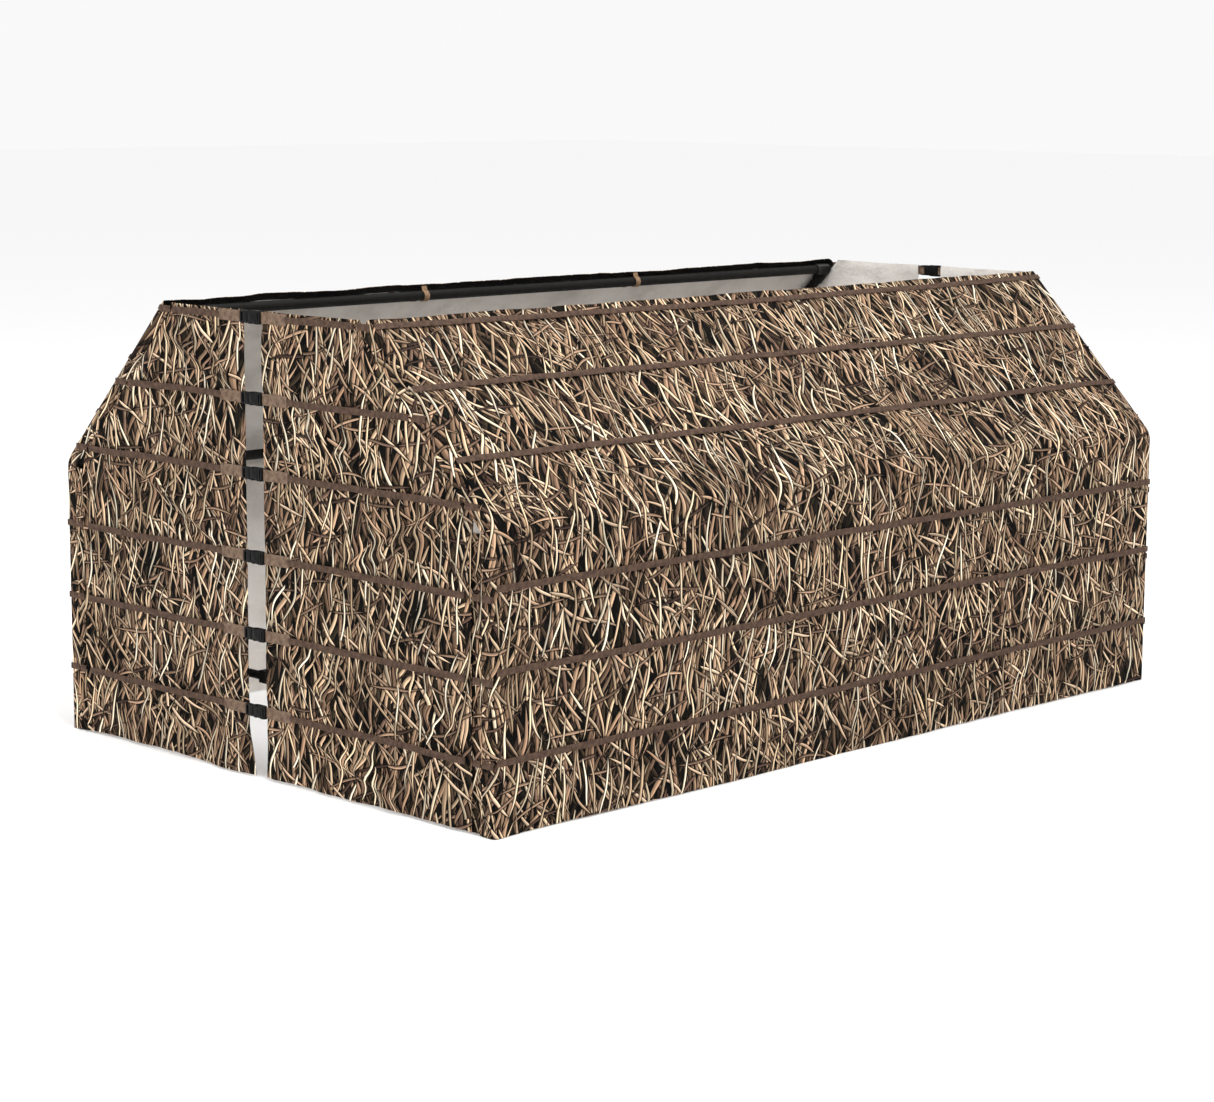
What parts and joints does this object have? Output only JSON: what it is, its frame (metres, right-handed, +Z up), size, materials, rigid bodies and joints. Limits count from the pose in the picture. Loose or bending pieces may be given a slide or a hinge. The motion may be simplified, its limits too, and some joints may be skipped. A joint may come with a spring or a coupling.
{
  "type": "field blind",
  "caption": "Open-topped field blind: camouflage cloth walls with stubble straps on a folding tube frame, and end curtains that part at buckled slits.",
  "frame": {"origin": "centre of the footprint on the ground, at the bottom of the feet", "axes": "+X along the long sides, towards the right end wall; +Y towards the rear long side; +Z up"},
  "size_m": [3.076, 1.935, 1.37],
  "materials": {
    "black_tube": "satin black powder coat",
    "black_fitting": "moulded black nylon",
    "foot": "moulded black nylon",
    "camo_cloth": "printed woven polyester with a grey-beige coated back",
    "camo_binding": "printed woven polyester, folded and sewn",
    "strap_webbing": "woven polyester webbing",
    "tie_webbing": "woven polyester webbing",
    "buckle_plastic": "moulded black acetal"
  },
  "bodies": {
    "rear_side": {"rear_posts": "black_tube", "rear_hip_rail": "black_tube", "rear_feet": "foot", "rear_hip_castings": "black_fitting", "rear_bar_lugs": "black_fitting", "rear_lower_cover": "camo_cloth", "rear_lower_straps": "strap_webbing"},
    "rear_upper": {"rear_top_rail": "black_tube", "rear_ribs": "black_tube", "rear_hinge_eyes": "black_fitting", "rear_elbows": "black_fitting", "rear_upper_cover": "camo_cloth", "rear_upper_straps": "strap_webbing", "rear_ties": "tie_webbing"},
    "front_side": {"front_posts": "black_tube", "front_hip_rail": "black_tube", "front_feet": "foot", "front_hip_castings": "black_fitting", "front_bar_lugs": "black_fitting", "front_lower_cover": "camo_cloth", "front_lower_straps": "strap_webbing"},
    "front_upper": {"front_top_rail": "black_tube", "front_ribs": "black_tube", "front_hinge_eyes": "black_fitting", "front_elbows": "black_fitting", "front_upper_cover": "camo_cloth", "front_upper_straps": "strap_webbing", "front_ties": "tie_webbing"},
    "left_rear_bar": {"left_rear_bar": "black_tube"},
    "left_front_bar": {"left_front_bar": "black_tube"},
    "right_rear_bar": {"right_rear_bar": "black_tube"},
    "right_front_bar": {"right_front_bar": "black_tube"},
    "left_rear_binding": {"left_rear_binding": "camo_binding"},
    "left_rear_door": {"left_rear_curtain": "camo_cloth", "left_rear_curtain_straps": "strap_webbing"},
    "left_front_binding": {"left_front_binding": "camo_binding"},
    "left_front_door": {"left_front_curtain": "camo_cloth", "left_front_curtain_straps": "strap_webbing", "left_sockets": "buckle_plastic"},
    "left_insert_1": {"left_insert_1": "buckle_plastic"},
    "left_insert_2": {"left_insert_2": "buckle_plastic"},
    "left_insert_3": {"left_insert_3": "buckle_plastic"},
    "left_insert_4": {"left_insert_4": "buckle_plastic"},
    "left_insert_5": {"left_insert_5": "buckle_plastic"},
    "left_insert_6": {"left_insert_6": "buckle_plastic"},
    "right_rear_binding": {"right_rear_binding": "camo_binding"},
    "right_rear_door": {"right_rear_curtain": "camo_cloth", "right_rear_curtain_straps": "strap_webbing"},
    "right_front_binding": {"right_front_binding": "camo_binding"},
    "right_front_door": {"right_front_curtain": "camo_cloth", "right_front_curtain_straps": "strap_webbing", "right_sockets": "buckle_plastic"},
    "right_insert_1": {"right_insert_1": "buckle_plastic"},
    "right_insert_2": {"right_insert_2": "buckle_plastic"},
    "right_insert_3": {"right_insert_3": "buckle_plastic"},
    "right_insert_4": {"right_insert_4": "buckle_plastic"},
    "right_insert_5": {"right_insert_5": "buckle_plastic"},
    "right_insert_6": {"right_insert_6": "buckle_plastic"}
  },
  "joints": [
    {"name": "fold", "type": "hinge", "parent": "rear_side", "child": "left_rear_bar", "pos_m": [-1.457, 0.921, 0.285], "axis": [0, 0, 1], "range_deg": [0, 73], "deforming": ["left_insert_1", "left_insert_2", "left_insert_3", "left_insert_4", "left_insert_5", "left_insert_6", "right_insert_1", "right_insert_2", "right_insert_3", "right_insert_4", "right_insert_5", "right_insert_6", "left_rear_curtain_straps", "left_front_curtain_straps", "right_rear_curtain_straps", "right_front_curtain_straps"]},
    {"name": "left_front_bar_fold", "type": "hinge", "parent": "left_rear_bar", "child": "left_front_bar", "pos_m": [-1.457, 0, 0.285], "axis": [0, 0, 1], "range_deg": [-146, 0]},
    {"name": "front_side_fold", "type": "hinge", "parent": "left_front_bar", "child": "front_side", "pos_m": [-1.457, -0.921, 0.285], "axis": [0, 0, 1], "range_deg": [0, 73]},
    {"name": "right_rear_bar_fold", "type": "hinge", "parent": "rear_side", "child": "right_rear_bar", "pos_m": [1.457, 0.921, 0.285], "axis": [0, 0, 1], "range_deg": [-73, 0]},
    {"name": "right_front_bar_fold", "type": "hinge", "parent": "right_rear_bar", "child": "right_front_bar", "pos_m": [1.457, 0, 0.285], "axis": [0, 0, 1], "range_deg": [0, 146]},
    {"name": "rear_upper_fold", "type": "hinge", "parent": "rear_side", "child": "rear_upper", "pos_m": [0, 0.939, 0.83949], "axis": [1, 0, 0], "range_deg": [-44, 0]},
    {"name": "front_upper_fold", "type": "hinge", "parent": "front_side", "child": "front_upper", "pos_m": [0, -0.939, 0.83949], "axis": [1, 0, 0], "range_deg": [0, 44]},
    {"name": "left_rear_binding_fold", "type": "hinge", "parent": "rear_side", "child": "left_rear_binding", "pos_m": [-1.523, 0.915, 0.6], "axis": [0, 0, 1], "range_deg": [0, 73]},
    {"name": "left_rear_door_swing", "type": "hinge", "parent": "left_rear_binding", "child": "left_rear_door", "pos_m": [-1.53, 0.88, 0.6], "axis": [0, 0, -1], "range_deg": [0, 165]},
    {"name": "left_front_binding_fold", "type": "hinge", "parent": "front_side", "child": "left_front_binding", "pos_m": [-1.523, -0.915, 0.6], "axis": [0, 0, 1], "range_deg": [-73, 0]},
    {"name": "left_front_door_swing", "type": "hinge", "parent": "left_front_binding", "child": "left_front_door", "pos_m": [-1.53, -0.88, 0.6], "axis": [0, 0, 1], "range_deg": [0, 165]},
    {"name": "right_rear_binding_fold", "type": "hinge", "parent": "rear_side", "child": "right_rear_binding", "pos_m": [1.523, 0.915, 0.6], "axis": [0, 0, 1], "range_deg": [-73, 0]},
    {"name": "right_rear_door_swing", "type": "hinge", "parent": "right_rear_binding", "child": "right_rear_door", "pos_m": [1.53, 0.88, 0.6], "axis": [0, 0, 1], "range_deg": [0, 165]},
    {"name": "right_front_binding_fold", "type": "hinge", "parent": "front_side", "child": "right_front_binding", "pos_m": [1.523, -0.915, 0.6], "axis": [0, 0, 1], "range_deg": [0, 73]},
    {"name": "right_front_door_swing", "type": "hinge", "parent": "right_front_binding", "child": "right_front_door", "pos_m": [1.53, -0.88, 0.6], "axis": [0, 0, -1], "range_deg": [0, 165]},
    {"name": "left_buckle_1", "type": "slide", "parent": "left_rear_door", "child": "left_insert_1", "axis": [0, 1, 0], "range_m": [0, 0.038], "deforming": ["left_insert_1"]},
    {"name": "left_buckle_2", "type": "slide", "parent": "left_rear_door", "child": "left_insert_2", "axis": [0, 1, 0], "range_m": [0, 0.038], "deforming": ["left_insert_2"]},
    {"name": "left_buckle_3", "type": "slide", "parent": "left_rear_door", "child": "left_insert_3", "axis": [0, 1, 0], "range_m": [0, 0.038], "deforming": ["left_insert_3"]},
    {"name": "left_buckle_4", "type": "slide", "parent": "left_rear_door", "child": "left_insert_4", "axis": [0, 1, 0], "range_m": [0, 0.038], "deforming": ["left_insert_4"]},
    {"name": "left_buckle_5", "type": "slide", "parent": "left_rear_door", "child": "left_insert_5", "axis": [0, 1, 0], "range_m": [0, 0.038], "deforming": ["left_insert_5"]},
    {"name": "left_buckle_6", "type": "slide", "parent": "left_rear_door", "child": "left_insert_6", "axis": [0, 1, 0], "range_m": [0, 0.038], "deforming": ["left_insert_6"]},
    {"name": "right_buckle_1", "type": "slide", "parent": "right_rear_door", "child": "right_insert_1", "axis": [0, 1, 0], "range_m": [0, 0.038], "deforming": ["right_insert_1"]},
    {"name": "right_buckle_2", "type": "slide", "parent": "right_rear_door", "child": "right_insert_2", "axis": [0, 1, 0], "range_m": [0, 0.038], "deforming": ["right_insert_2"]},
    {"name": "right_buckle_3", "type": "slide", "parent": "right_rear_door", "child": "right_insert_3", "axis": [0, 1, 0], "range_m": [0, 0.038], "deforming": ["right_insert_3"]},
    {"name": "right_buckle_4", "type": "slide", "parent": "right_rear_door", "child": "right_insert_4", "axis": [0, 1, 0], "range_m": [0, 0.038], "deforming": ["right_insert_4"]},
    {"name": "right_buckle_5", "type": "slide", "parent": "right_rear_door", "child": "right_insert_5", "axis": [0, 1, 0], "range_m": [0, 0.038], "deforming": ["right_insert_5"]},
    {"name": "right_buckle_6", "type": "slide", "parent": "right_rear_door", "child": "right_insert_6", "axis": [0, 1, 0], "range_m": [0, 0.038], "deforming": ["right_insert_6"]}
  ],
  "couplings": [
    {"joint": "left_front_bar_fold", "follows": "fold", "ratio": -2},
    {"joint": "front_side_fold", "follows": "fold", "ratio": 1},
    {"joint": "right_rear_bar_fold", "follows": "fold", "ratio": -1},
    {"joint": "right_front_bar_fold", "follows": "fold", "ratio": 2},
    {"joint": "rear_upper_fold", "follows": "fold", "ratio": -0.60274},
    {"joint": "front_upper_fold", "follows": "fold", "ratio": 0.60274},
    {"joint": "left_rear_binding_fold", "follows": "fold", "ratio": 1},
    {"joint": "left_front_binding_fold", "follows": "fold", "ratio": -1},
    {"joint": "right_rear_binding_fold", "follows": "fold", "ratio": -1},
    {"joint": "right_front_binding_fold", "follows": "fold", "ratio": 1}
  ]
}
